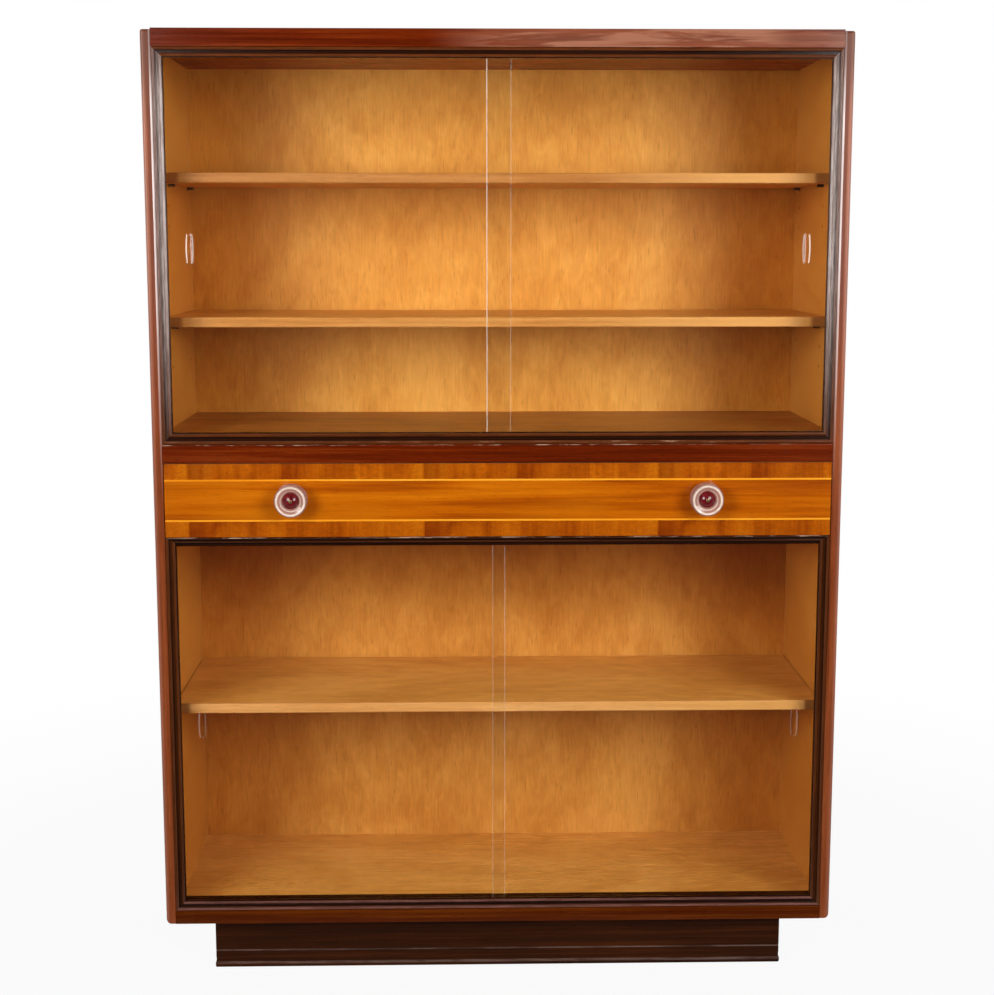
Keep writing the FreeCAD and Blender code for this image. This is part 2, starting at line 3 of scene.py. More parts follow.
import bmesh
import bpy
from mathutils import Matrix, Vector


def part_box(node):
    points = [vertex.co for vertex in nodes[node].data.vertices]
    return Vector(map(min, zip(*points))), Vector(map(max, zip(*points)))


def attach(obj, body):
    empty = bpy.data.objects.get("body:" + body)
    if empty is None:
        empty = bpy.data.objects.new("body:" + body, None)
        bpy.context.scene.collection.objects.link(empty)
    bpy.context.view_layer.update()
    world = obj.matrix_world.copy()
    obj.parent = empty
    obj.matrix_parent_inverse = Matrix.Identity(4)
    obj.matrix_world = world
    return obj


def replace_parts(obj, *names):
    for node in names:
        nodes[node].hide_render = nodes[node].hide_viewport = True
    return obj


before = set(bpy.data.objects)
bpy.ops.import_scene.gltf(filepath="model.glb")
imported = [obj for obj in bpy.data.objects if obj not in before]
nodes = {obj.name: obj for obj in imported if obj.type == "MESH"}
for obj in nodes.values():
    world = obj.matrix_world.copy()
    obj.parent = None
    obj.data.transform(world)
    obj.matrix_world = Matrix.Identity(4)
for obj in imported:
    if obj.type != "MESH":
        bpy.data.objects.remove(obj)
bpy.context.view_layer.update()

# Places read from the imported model, in metres

side_low, side_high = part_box("left_side_panel")
half_width = -side_low.x
half_clear = -side_high.x
front = side_low.y
back = side_high.y
mid_rail_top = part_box("mid_rail")[1].z
lower_top_bar_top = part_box("lower_moulding_top")[1].z
upper_low_bar_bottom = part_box("upper_moulding_bottom")[0].z
top_board_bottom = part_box("top_board")[0].z
bottom_board_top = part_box("bottom_board")[1].z
drawer_core_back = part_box("drawer_front_core")[1].y
lower_back_low, lower_back_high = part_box("lower_back_panel")
upper_back_low, upper_back_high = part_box("upper_back_panel")
knob_low, knob_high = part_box("knob_bodies")

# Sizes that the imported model's boxes don't tell, in metres

plinth_groove = (0.0285, 0.0305)
plinth_bead = (0.0065, 0.0085)
crossband_seam = -0.494
crossband_leaf = 0.375
pull_inset = 0.048
pull_half_length = 0.023
pull_half_width = 0.006
pull_half_end = 0.0045
pull_depth = (0.0018, 0.0022)
pane_end = (0.0010, 0.0016)
veneer_skin = (0.0002, 0.0004)
bead_crest = (front + 0.0040, front + 0.0048)
bead_wall = (front + 0.0030, front + 0.0036)
groove_start = (front + 0.0060, front + 0.0068)
last_step = (front + 0.0084, front + 0.0092)
side_edge_fade = (front + 0.002, front + 0.006)
side_veneer_start = (front + 0.006, front + 0.008)
side_outer_arris = (half_width - 0.0085, half_width - 0.0005)
side_valley = (half_clear + 0.0045, half_clear + 0.0075)
side_inner_arris = (half_clear - 0.0005, half_clear + 0.0024)
side_veneer_face = (half_clear + 0.0004, half_clear + 0.0006)
pin_hole_depth = (half_clear + 0.0006, half_width - 0.001)
pin_hole_rows = (front + 0.03, back - 0.02)
pin_hole_heights = (0.15, 1.48)
lipping_shadow_reach = (half_clear - 0.03, half_clear - 0.02)
knob_lip = (0.0130, 0.0162)
knob_rim_inset = (0.0050, 0.0028)
knob_front = (knob_low.y + 0.003, knob_low.y + 0.006)

# Heights and distances from the middle over which painted highlights, painted reflections, painted
# shade and the colour change, in metres

side_top_darkening = (1.36, 1.5)
side_highlight_rise = (0.78, 1.3)
side_highlight_fall = (1.4, 1.5)
side_outer_fall = (1.4, 1.52)
moulding_sheen_rise = (0.84, 1.22)
moulding_sheen_fall = (1.42, 1.5)
veneer_end_shade_reach = (0.28, 0.5)
lower_back_shade_heights = (0.46, 0.66)
lipping_yellow = (0.05, 0.45)
top_rail_reflection = (-0.12, 0.08)
top_rail_reflection_end = (0.40, 0.46)


def tone(red, green, blue):
    """A colour as written in display values from 0 to 255, for a shader's socket."""
    share = [value / 255 for value in (red, green, blue)]
    return [v / 12.92 if v <= 0.04045 else ((v + 0.055) / 1.055) ** 2.4 for v in share] + [1.0]


class Shade:
    """The node tree of a material or a world, with short calls for the nodes that it is made of."""

    def __init__(self, name, holder=None):
        self.holder = holder or bpy.data.materials.new(name)
        self.holder.use_nodes = True
        self.tree = self.holder.node_tree
        self.tree.nodes.clear()
        self.place = self.node("ShaderNodeTexCoord").outputs["Object"]
        split = self.node("ShaderNodeSeparateXYZ", {"Vector": self.place})
        self.x, self.y, self.z = split.outputs

    def node(self, kind, sockets=None, **settings):
        made = self.tree.nodes.new(kind)
        for key, value in settings.items():
            setattr(made, key, value)
        for key, value in (sockets or {}).items():
            self.feed(made.inputs[key], value)
        return made

    def feed(self, socket, value):
        if isinstance(value, bpy.types.NodeSocket):
            self.tree.links.new(value, socket)
        else:
            socket.default_value = value

    def math(self, operation, *values):
        made = self.node("ShaderNodeMath", operation=operation)
        for socket, value in zip(made.inputs, values):
            self.feed(socket, value)
        return made.outputs[0]

    def product(self, first, *others):
        """Multiplies values with one another."""
        for other in others:
            first = self.math("MULTIPLY", first, other)
        return first

    def rise(self, value, low, high, to_low=0.0, to_high=1.0):
        """Goes smoothly from one value to another while the input goes from low to high."""
        sockets = {"Value": value, "From Min": low, "From Max": high,
                   "To Min": to_low, "To Max": to_high}
        return self.node("ShaderNodeMapRange", sockets, interpolation_type="SMOOTHSTEP").outputs[0]

    def band(self, value, low, high, soft):
        """Is 1 between low and high, and falls to 0 within soft outside them."""
        rising = self.rise(value, low - soft, low)
        falling = self.rise(value, high, high + soft, 1.0, 0.0)
        return self.product(rising, falling)

    def mix(self, share, first, second, blend="MIX"):
        made = self.node("ShaderNodeMix", data_type="RGBA", blend_type=blend)
        for place, value in ((0, share), (6, first), (7, second)):
            self.feed(made.inputs[place], value)
        return made.outputs[2]

    def scale(self, colour, amount):
        """The colour made brighter or darker by one amount."""
        grey = self.node("ShaderNodeCombineColor", {0: amount, 1: amount, 2: amount}).outputs[0]
        return self.mix(1.0, colour, grey, "MULTIPLY")

    def ramp(self, value, *stops):
        made = self.node("ShaderNodeValToRGB", {"Fac": value})
        elements = made.color_ramp.elements
        while len(elements) < len(stops):
            elements.new(0.5)
        for element, (position, colour) in zip(elements, stops):
            element.position = position
            element.color = colour
        return made.outputs["Color"]

    def stretch(self, axis, along, across, shift=(0.0, 0.0, 0.0), place=None):
        """Coordinates whose pattern is long along one axis and narrow across it."""
        scale = [across, across, across]
        scale[axis] = along
        sockets = {"Vector": place or self.place, "Location": shift, "Scale": scale}
        return self.node("ShaderNodeMapping", sockets).outputs[0]

    def noise(self, vector, scale=1.0, detail=2.0, roughness=0.5, distortion=0.0):
        sockets = {"Vector": vector, "Scale": scale, "Detail": detail, "Roughness": roughness,
                   "Distortion": distortion}
        return self.node("ShaderNodeTexNoise", sockets).outputs["Fac"]

    def bump(self, height, distance, strength=1.0):
        sockets = {"Height": height, "Distance": distance, "Strength": strength}
        return self.node("ShaderNodeBump", sockets).outputs[0]

    def surface(self, sockets):
        """Gives the material a Principled shader and returns the shader's output."""
        return self.node("ShaderNodeBsdfPrincipled", sockets).outputs[0]

    def lit_through(self, shader, colour):
        """Lets the lamps' light pass straight through a clear material."""
        clear = self.node("ShaderNodeBsdfTransparent", {"Color": colour}).outputs[0]
        lamp_ray = self.node("ShaderNodeLightPath").outputs["Is Shadow Ray"]
        return self.node("ShaderNodeMixShader", {0: lamp_ray, 1: shader, 2: clear}).outputs[0]

    def close(self, shader, output="ShaderNodeOutputMaterial"):
        self.node(output, {"Surface": shader})
        return self.holder


GRAIN_X, GRAIN_Y, GRAIN_Z = 0, 1, 2


class Grain:
    """The layers of one wood: soft figure, streaks, fibres and pores along one axis."""

    def __init__(self, shade, axis, shift, place=None, figure_size=9.0, streak_size=130.0):
        soft = shade.stretch(axis, 1.7, figure_size, shift, place)
        self.figure = shade.noise(soft, 1.0, 3.0, 0.55, 0.8)
        narrow = shade.stretch(axis, 3.0, streak_size, shift, place)
        self.streak = shade.noise(narrow, 1.0, 4.0, 0.62)
        self.fibre = shade.noise(shade.stretch(axis, 26.0, 1000.0, shift, place), 1.0, 2.0, 0.6)
        pores = shade.noise(shade.stretch(axis, 75.0, 620.0, shift, place), 1.0, 1.0, 0.4)
        self.pore = shade.rise(pores, 0.60, 0.72)


def wood_colour(shade, grain, dark, mid, light, figure_share=0.5, fibre_depth=0.16, pore_depth=0.3):
    """The colour of one wood from its layers."""
    streaks = shade.product(grain.streak, 1.0 - figure_share)
    blend = shade.math("MULTIPLY_ADD", grain.figure, figure_share, streaks)
    colour = shade.ramp(blend, (0.36, dark), (0.5, mid), (0.64, light))
    fibre = shade.rise(grain.fibre, 0.3, 0.7, 1.0 - fibre_depth, 1.0 + fibre_depth)
    colour = shade.scale(colour, fibre)
    return shade.mix(shade.product(grain.pore, pore_depth), colour, dark_of(dark))


def dark_of(colour):
    """The colour of the pores and flecks in a wood whose dark tone is given."""
    return [value * 0.45 for value in colour[:3]] + [1.0]


# Finishes: roughness from smooth to coarse streaks, depth of relief in metres and strength of gloss

honey_finish = {"rough": (0.3, 0.42), "relief": 0.00006, "gloss": 0.15}
lipping_finish = {"rough": (0.3, 0.42), "relief": 0.00006, "gloss": 0.2}
board_finish = {"rough": (0.24, 0.38), "relief": 0.00006, "gloss": 0.2}
side_finish = {"rough": (0.28, 0.285), "relief": 0.00002, "gloss": 0.2}
bead_finish = {"rough": (0.14, 0.22), "relief": 0.00003, "gloss": 0.3}
rail_finish = {"rough": (0.12, 0.18), "relief": 0.00003}
plinth_finish = {"rough": (0.2, 0.34), "relief": 0.00006, "gloss": 0.04}
front_finish = {"rough": (0.12, 0.18), "relief": 0.00002, "gloss": 0.4}
raw_finish = {"rough": (0.55, 0.7), "relief": 0.0003, "gloss": 0.5}
glass_ior = 1.34
lucite_ior = 1.48


def wood_finish(shade, grain, colour, rough, relief, gloss, relief_share=1.0):
    """A wood surface: fine relief from fibres and pores, sheen that follows the grain."""
    height = shade.math("SUBTRACT", grain.fibre, grain.pore)
    sockets = {"Base Color": colour, "Roughness": shade.rise(grain.streak, 0.3, 0.7, *rough),
               "Normal": shade.bump(height, relief, relief_share), "Specular IOR Level": gloss}
    return shade.close(shade.surface(sockets))


def raw_wood(name, axis, shift):
    """Unfinished wood of the pieces that stay hidden while the drawer is shut."""
    shade = Shade(name)
    grain = Grain(shade, axis, shift)
    return wood_finish(shade, grain, wood_colour(shade, grain, *raw_tones), **raw_finish)


# Colours, each wood from dark to light

honey_tones = (tone(199, 129, 49), tone(213, 145, 61), tone(225, 159, 73))
side_tones = (tone(196, 123, 44), tone(203, 132, 51), tone(209, 140, 58))
# Painted shade: the upper bay's ceiling is the honey veneer made darker and redder, as in shade.
ceiling_shade_tones = (tone(110, 32, 0), tone(140, 50, 2), tone(160, 66, 7))
low_board_tones = (tone(206, 138, 56), tone(220, 153, 68), tone(232, 167, 82))
upper_floor_tones = (tone(134, 72, 16), tone(160, 92, 26), tone(176, 110, 42))
# Painted shade: the lower back panel's veneer is darker than the upper one, as the lower bay lies
# in more shade.
lower_back_shade_tones = (tone(192, 122, 46), tone(206, 137, 58), tone(219, 152, 70))
lipping_tones = {
    "upper_shelf_top_lipping": (tone(150, 86, 30), tone(168, 104, 46), tone(182, 120, 62)),
    "upper_shelf_low_lipping": (tone(170, 102, 40), tone(190, 124, 58), tone(202, 140, 74)),
    "lower_shelf_lipping": (tone(198, 126, 60), tone(214, 146, 80), tone(224, 160, 96)),
}
case_tones = (tone(100, 40, 14), tone(140, 66, 30), tone(164, 86, 46))
rail_tones = (tone(80, 20, 0), tone(103, 29, 0), tone(128, 48, 6))
foot_rail_tones = (tone(76, 22, 0), tone(96, 38, 2), tone(114, 52, 8))
plinth_tones = (tone(44, 18, 4), tone(57, 25, 7), tone(74, 35, 12))
centre_tones = (tone(142, 54, 0), tone(191, 93, 0), tone(213, 116, 5))
string_tones = (tone(240, 140, 20), tone(252, 162, 34), tone(255, 178, 54))
raw_tones = (tone(182, 134, 82), tone(208, 162, 108), tone(224, 184, 134))
stain_tones = (tone(34, 12, 3), tone(72, 34, 10), tone(90, 44, 16))
stain_crest_highlight = tone(112, 54, 20)
# Pale dashes along arrises, partly wear and partly painted highlight.
pale_wear_highlight = tone(214, 178, 150)
# Painted shade: darker, redder tints for the back panels' veneer toward their ends and the lower
# back's upper edge.
upper_back_end_shade = [0.74, 0.58, 0.34, 1.0]
lower_back_end_shade = [0.86, 0.72, 0.5, 1.0]
lower_back_high_shade = [0.64, 0.5, 0.26, 1.0]
glass_clear = tone(252, 254, 253)
white = tone(255, 255, 255)


def honey_colour(shade, axis, shift, dark, mid, light, spread=1.0):
    """Mottled honey veneer with fine fibres, short dark flecks and a few pin knots."""
    mottle = shade.noise(shade.stretch(axis, 3.2, 5.6 / spread, shift), 1.0, 4.0, 0.62, 0.8)
    ripple = shade.noise(shade.stretch(axis, 26.0, 60.0 / spread, shift), 1.0, 3.0, 0.6, 0.6)
    blend = shade.math("MULTIPLY_ADD", mottle, 0.66, shade.product(ripple, 0.34))
    colour = shade.ramp(blend, (0.38, dark), (0.5, mid), (0.62, light))
    fine = shade.noise(shade.stretch(axis, 20.0, 420.0 / spread, shift), 1.0, 3.0, 0.6)
    depth = 0.07 / spread
    colour = shade.scale(colour, shade.rise(fine, 0.3, 0.7, 1.0 - depth, 1.0 + depth))
    flecks = shade.noise(shade.stretch(axis, 46.0, 330.0 / spread, shift), 1.0, 1.0, 0.4)
    fleck = shade.rise(flecks, 0.66, 0.76, 0.0, 0.3 / spread)
    sockets = {"Vector": shade.stretch(axis, 3.4, 9.0, shift), "Scale": 1.0}
    cells = shade.node("ShaderNodeTexVoronoi", sockets)
    draw = shade.node("ShaderNodeSeparateColor", {0: cells.outputs["Color"]}).outputs[0]
    chosen = shade.rise(draw, 0.66, 0.7)
    knot = shade.product(shade.rise(cells.outputs["Distance"], 0.008, 0.028, 0.65, 0.0), chosen)
    return shade.mix(shade.math("MAXIMUM", fleck, knot), colour, dark_of(dark))


def side_material(name, shift):
    """Reddish case wood with painted highlights and shade on its front edge, painted shade in the
    pin holes, honey veneer inside.
    """
    shade = Shade(name)
    grain = Grain(shade, GRAIN_Z, shift)
    outside = wood_colour(shade, grain, *case_tones, 0.45, 0.12, 0.25)
    across = shade.math("ABSOLUTE", shade.x)
    near_front = shade.rise(shade.y, *side_edge_fade, 1.0, 0.0)
    # The front edge is made darker toward the top.
    darker_top = shade.product(shade.rise(shade.z, *side_top_darkening), near_front)
    outside = shade.mix(darker_top, outside, tone(110, 58, 36))
    # The upper part of the front edge, where the painted highlights and painted shade show.
    high = shade.product(shade.rise(shade.z, *side_highlight_rise),
                         shade.rise(shade.z, *side_highlight_fall, 1.0, 0.25))
    drift = shade.noise(shade.stretch(GRAIN_Z, 3.0, 20.0, shift), 1.0, 2.0)
    # Painted reflection: the outer arris is made pale and pinkish in the upper part, as lacquer
    # catching bright surroundings would look.
    outer = shade.product(shade.rise(across, *side_outer_arris, 0.0, 0.62),
                          shade.rise(drift, 0.3, 0.7, 0.7, 1.0),
                          shade.rise(high, 0.0, 1.0, 0.55, 1.0),
                          shade.rise(shade.z, *side_outer_fall, 1.0, 0.5), near_front)
    outside = shade.mix(outer, outside, tone(214, 160, 142))
    # Painted shade: the middle of the front edge is darkened between the painted highlights in the
    # upper part.
    valley_shade = shade.product(shade.band(across, *side_valley, 0.002), near_front, high, 0.6)
    outside = shade.mix(valley_shade, outside, tone(92, 36, 16))
    patches = shade.noise(shade.stretch(GRAIN_Z, 9.0, 60.0, shift), 1.0, 3.0)
    # Painted highlight: a near-white line along the inner arris, strongest in the upper part.
    pale_line = shade.product(shade.band(across, *side_inner_arris, 0.0009), near_front, high,
                         shade.rise(patches, 0.3, 0.6, 0.7, 1.0))
    outside = shade.mix(pale_line, outside, tone(255, 240, 236))
    honey = honey_colour(shade, GRAIN_Z, shift, *side_tones, 6.0)
    inside = shade.product(shade.rise(across, *side_veneer_face, 1.0, 0.0),
                           shade.rise(shade.y, *side_veneer_start))
    # Painted shade: the walls of the shelf-pin holes inside the side are darkened.
    pin_hole_shade = shade.product(shade.band(across, *pin_hole_depth, 0.0002),
                              shade.band(shade.y, *pin_hole_rows, 0.001),
                              shade.band(shade.z, *pin_hole_heights, 0.01))
    outside = shade.mix(pin_hole_shade, outside, tone(30, 12, 4))
    return wood_finish(shade, grain, shade.mix(inside, outside, honey), **side_finish,
                       relief_share=shade.math("SUBTRACT", 1.0, inside))


def board_material(name, shift, inner_z, inner_above, inner):
    """A case board whose one wide face is honey veneer."""
    shade = Shade(name)
    grain = Grain(shade, GRAIN_X, shift)
    outside = wood_colour(shade, grain, *case_tones, 0.45, 0.14, 0.3)
    honey = honey_colour(shade, GRAIN_X, shift, *inner)
    thin, thick = veneer_skin
    if inner_above:
        inside = shade.rise(shade.z, inner_z - thick, inner_z - thin)
    else:
        inside = shade.rise(shade.z, inner_z + thin, inner_z + thick, 1.0, 0.0)
    return wood_finish(shade, grain, shade.mix(inside, outside, honey), **board_finish)


def honey_material(name, axis, shift, tones=honey_tones, end_shade_tint=None, high_shade_tint=None):
    """Honey veneer. It may carry painted shade toward its left and right ends and toward its upper
    edge.
    """
    shade = Shade(name)
    grain = Grain(shade, axis, shift)
    colour = honey_colour(shade, axis, shift, *tones)
    # Painted shade toward the ends and, on the lower back, toward the upper edge.
    if end_shade_tint:
        across = shade.math("ABSOLUTE", shade.x)
        colour = shade.mix(shade.rise(across, *veneer_end_shade_reach), colour, end_shade_tint, "MULTIPLY")
    if high_shade_tint:
        colour = shade.mix(shade.rise(shade.z, *lower_back_shade_heights), colour, high_shade_tint, "MULTIPLY")
    return wood_finish(shade, grain, colour, **honey_finish)


def lipping_material(name, shift, dark, mid, light):
    """Light wood along the shelves' front edges, yellower toward the right end, with painted shadow
    at both ends.
    """
    shade = Shade(name)
    grain = Grain(shade, GRAIN_X, shift)
    colour = wood_colour(shade, grain, dark, mid, light, 0.4, 0.1, 0.2)
    yellow = shade.rise(shade.x, *lipping_yellow, 0.0, 0.6)
    colour = shade.mix(yellow, colour, tone(218, 156, 84))
    # Painted shadow: both ends darkened where the uprights would shade them.
    across = shade.math("ABSOLUTE", shade.x)
    stile_shadow = shade.rise(across, *lipping_shadow_reach, 0.0, 0.8)
    colour = shade.mix(stile_shadow, colour, tone(112, 54, 12))
    return wood_finish(shade, grain, colour, **lipping_finish)


def rail_material(name, shift, tones=rail_tones, wear_highlight_height=None, painted_reflection=0.0, gloss=0.3):
    """Red-brown rail. It may have a pale dashed arris of wear and painted highlight, or a painted
    reflection on its right half.
    """
    shade = Shade(name)
    grain = Grain(shade, GRAIN_X, shift, None, 20.0, 150.0)
    colour = wood_colour(shade, grain, *tones, 0.3, 0.12, 0.3)
    # Painted reflection: a pale cloudy haze over the right half of the top rail, clearing near its
    # end.
    if painted_reflection:
        cloud = shade.noise(shade.stretch(GRAIN_X, 5.0, 60.0, shift), 1.0, 4.0, 0.6, 0.5)
        clear = shade.rise(cloud, 0.42, 0.56, 0.35, 1.0)
        reflection_veil = shade.product(shade.rise(shade.x, *top_rail_reflection, 0.0, painted_reflection), clear,
                             shade.rise(shade.x, *top_rail_reflection_end, 1.0, 0.45))
        colour = shade.mix(reflection_veil, colour, tone(176, 118, 92))
    # A pale dashed line along the arris, partly wear and partly painted highlight.
    if wear_highlight_height:
        dashes = shade.noise(shade.stretch(GRAIN_X, 26.0, 260.0, shift), 1.0, 4.0, 0.7)
        arris = shade.band(shade.z, wear_highlight_height - 0.0011, wear_highlight_height, 0.0004)
        spells = shade.noise(shade.stretch(GRAIN_X, 3.0, 3.0, shift), 1.0, 2.0)
        stretches = shade.rise(spells, 0.44, 0.56, 0.2, 0.7)
        wear_highlight_dashes = shade.product(shade.rise(dashes, 0.5, 0.62), arris, stretches)
        colour = shade.mix(wear_highlight_dashes, colour, pale_wear_highlight)
    return wood_finish(shade, grain, colour, **rail_finish, gloss=gloss)


def moulding_material(name, axis, shift, wear_highlight_line=None, crest_highlight_tone=stain_crest_highlight,
                      groove_share=0.85, sheen=False):
    """Dark stain on the beads, darker in the grooves, crests and a dashed line paler from wear and
    painted highlight.
    """
    shade = Shade(name)
    grain = Grain(shade, axis, shift, None, 30.0, 300.0)
    colour = wood_colour(shade, grain, *stain_tones, 0.35, 0.15, 0.3)
    dashes = shade.noise(shade.stretch(axis, 24.0, 320.0, shift), 1.0, 4.0, 0.7)
    streaks = shade.rise(dashes, 0.4, 0.62)
    # Crests made lighter: partly rubbed wear, partly painted highlight.
    outer_crest = shade.rise(shade.y, front + 0.0014, front + 0.0026, 1.0, 0.25)
    inner_crest = shade.band(shade.y, *bead_crest, 0.0007)
    crest = shade.math("MAXIMUM", outer_crest, inner_crest)
    crest = shade.product(crest, shade.math("MULTIPLY_ADD", streaks, 0.4, 0.35))
    colour = shade.mix(crest, colour, crest_highlight_tone)
    grooves = shade.rise(shade.y, *groove_start, 0.0, groove_share)
    colour = shade.mix(grooves, colour, tone(26, 5, 0))
    # Painted reflection: a silvery sheen on the uprights' sunk beads and groove in their upper
    # part.
    if sheen:
        high = shade.product(shade.rise(shade.z, *moulding_sheen_rise, 0.0, 0.85),
                             shade.rise(shade.z, *moulding_sheen_fall, 1.0, 0.4))
        walls = shade.band(shade.y, *bead_wall, 0.0003)
        sunk = shade.product(shade.rise(shade.y, front + 0.0008, front + 0.0030, 0.2, 1.0),
                             shade.rise(shade.y, *last_step, 1.0, 0.2),
                             shade.math("SUBTRACT", 1.0, walls))
        pale = shade.product(high, sunk, shade.math("MULTIPLY_ADD", streaks, 0.5, 0.5))
        colour = shade.mix(pale, colour, tone(196, 180, 173))
    # A pale dashed line along one height, partly wear and partly painted highlight.
    if wear_highlight_line:
        low, high, share, sparse = wear_highlight_line
        line = shade.band(shade.z, low, high, 0.0003)
        spells = shade.noise(shade.stretch(axis, 4.0, 4.0, shift), 1.0, 2.0)
        stretches = shade.rise(spells, 0.44, 0.56, 0.25, 1.0)
        pale_line = shade.rise(dashes, sparse, sparse + 0.08, 0.0, share)
        wear_highlight_dashes = shade.product(line, pale_line, stretches)
        colour = shade.mix(wear_highlight_dashes, colour, pale_wear_highlight)
    return wood_finish(shade, grain, colour, **bead_finish)


def plinth_material(name, axis, shift):
    """Very dark plinth with painted highlights along the groove and on the foot's bead."""
    shade = Shade(name)
    grain = Grain(shade, axis, shift)
    colour = wood_colour(shade, grain, *plinth_tones, 0.3, 0.12, 0.3)
    # Painted highlight: pale lines along the groove and the foot's bead, broken up by noise.
    groove = shade.band(shade.z, *plinth_groove, 0.0004)
    bead = shade.band(shade.z, *plinth_bead, 0.0022)
    highlight_breaks = shade.noise(shade.stretch(axis, 12.0, 120.0, shift), 1.0, 3.0, 0.6)
    marks = shade.rise(highlight_breaks, 0.35, 0.6, 0.25, 1.0)
    light = shade.math("MULTIPLY_ADD", groove, 0.4, shade.product(bead, 0.3))
    colour = shade.mix(shade.product(light, marks), colour, tone(176, 146, 134))
    return wood_finish(shade, grain, colour, **plinth_finish)


def crossband_material(name, first_seam, leaf):
    """Leaves of upright veneer laid side by side, each the same as the one before."""
    shade = Shade(name)
    leaf_x = shade.math("FLOORED_MODULO", shade.math("SUBTRACT", shade.x, first_seam), leaf)
    place = shade.node("ShaderNodeCombineXYZ", {"X": leaf_x, "Y": 0.0, "Z": shade.z}).outputs[0]
    wide = shade.stretch(GRAIN_Z, 7.0, 15.0, (5.2, 0.0, 2.0), place)
    zones = shade.noise(wide, 1.0, 2.0, 0.5, 0.6)
    grain = Grain(shade, GRAIN_Z, (3.0, 1.0, 5.0), place, 34.0, 110.0)
    lines = shade.math("MULTIPLY_ADD", grain.figure, 0.38, shade.product(grain.streak, 0.16))
    blend = shade.math("MULTIPLY_ADD", zones, 0.46, lines)
    colour = shade.ramp(blend, (0.38, tone(132, 48, 0)), (0.46, tone(164, 74, 2)),
                        (0.54, tone(186, 92, 4)), (0.66, tone(208, 118, 12)))
    flames = shade.stretch(GRAIN_X, 50.0, 120.0, (1.0, 7.0, 3.0), place)
    curl = shade.noise(flames, 1.0, 3.0, 0.6, 2.5)
    colour = shade.scale(colour, shade.rise(curl, 0.35, 0.65, 0.88, 1.1))
    colour = shade.scale(colour, shade.rise(grain.fibre, 0.3, 0.7, 0.95, 1.04))
    colour = shade.mix(shade.product(grain.pore, 0.2), colour, tone(60, 20, 0))
    after_seam = shade.rise(leaf_x, 0.0, 0.06, 0.6, 0.0)
    colour = shade.mix(after_seam, colour, tone(124, 42, 0))
    joint = shade.rise(leaf_x, 0.0, 0.0008, 0.4, 0.0)
    return wood_finish(shade, grain, shade.mix(joint, colour, tone(60, 22, 0)), **front_finish)


def centre_material(name):
    """Orange field with grain along it, darker streaks and soft golden patches."""
    shade = Shade(name)
    grain = Grain(shade, GRAIN_X, (7.0, 2.0, 4.0), None, 24.0, 110.0)
    colour = wood_colour(shade, grain, *centre_tones, 0.6, 0.06, 0.2)
    golden = shade.noise(shade.stretch(GRAIN_X, 3.2, 14.0, (2.0, 8.0, 6.0)), 1.0, 2.0)
    colour = shade.mix(shade.rise(golden, 0.46, 0.66, 0.0, 0.5), colour, tone(206, 116, 8))
    return wood_finish(shade, grain, colour, **front_finish)


def string_material(name):
    """Light stringing between the centre field and the crossbanding."""
    shade = Shade(name)
    grain = Grain(shade, GRAIN_X, (2.0, 6.0, 1.0))
    colour = wood_colour(shade, grain, *string_tones, 0.4, 0.08, 0.15)
    return wood_finish(shade, grain, colour, **front_finish)


def glass_material(name, low, high, pull_x, end_highlight_share, pull_highlight_share):
    """Clear glass with frosted ends and a finger pull, whiter along its bowed outer edge, partly as
    painted highlight.
    """
    shade = Shade(name)
    near_end, far_end = pane_end
    ends = shade.math("ADD", shade.rise(shade.x, low.x + near_end, low.x + far_end, end_highlight_share, 0.0),
                      shade.rise(shade.x, high.x - far_end, high.x - near_end, 0.0, end_highlight_share))
    off_x = shade.math("SUBTRACT", shade.x, pull_x)
    off_z = shade.math("ABSOLUTE", shade.math("SUBTRACT", shade.z, (low.z + high.z) / 2))
    bend = shade.math("POWER", shade.math("DIVIDE", off_z, pull_half_length), 2.0)
    bow = shade.math("MULTIPLY_ADD", bend, pull_half_end - pull_half_width, pull_half_width)
    ring = shade.band(shade.math("DIVIDE", shade.math("ABSOLUTE", off_x), bow), 0.76, 1.0, 0.1)
    # Painted highlight: the pull's outer side is whiter than its inner side.
    outward = shade.product(off_x, math.copysign(1.0, pull_x))
    sunk_start, sunk_end = (low.y + depth for depth in pull_depth)
    edge = shade.product(ring,
                         shade.rise(off_z, pull_half_length - 0.001, pull_half_length, 1.0, 0.0),
                         shade.rise(outward, -0.001, 0.001, pull_highlight_share * 0.6, pull_highlight_share),
                         shade.rise(shade.y, sunk_start, sunk_end, 1.0, 0.0))
    ground_and_highlight = shade.math("MAXIMUM", ends, edge)
    smear = shade.noise(shade.stretch(GRAIN_Z, 3.0, 7.0), 1.0, 3.0)
    rough = shade.math("MULTIPLY_ADD", ground_and_highlight, 0.35, shade.rise(smear, 0.4, 0.75, 0.0, 0.012))
    waves = shade.noise(shade.stretch(GRAIN_Z, 2.0, 3.0), 1.0, 1.0)
    sockets = {"Base Color": shade.mix(ground_and_highlight, glass_clear, tone(240, 212, 184)),
               "Roughness": rough, "IOR": glass_ior,
               "Transmission Weight": shade.math("SUBTRACT", 1.0, ground_and_highlight),
               "Normal": shade.bump(waves, 0.0002)}
    return shade.close(shade.lit_through(shade.surface(sockets), glass_clear))


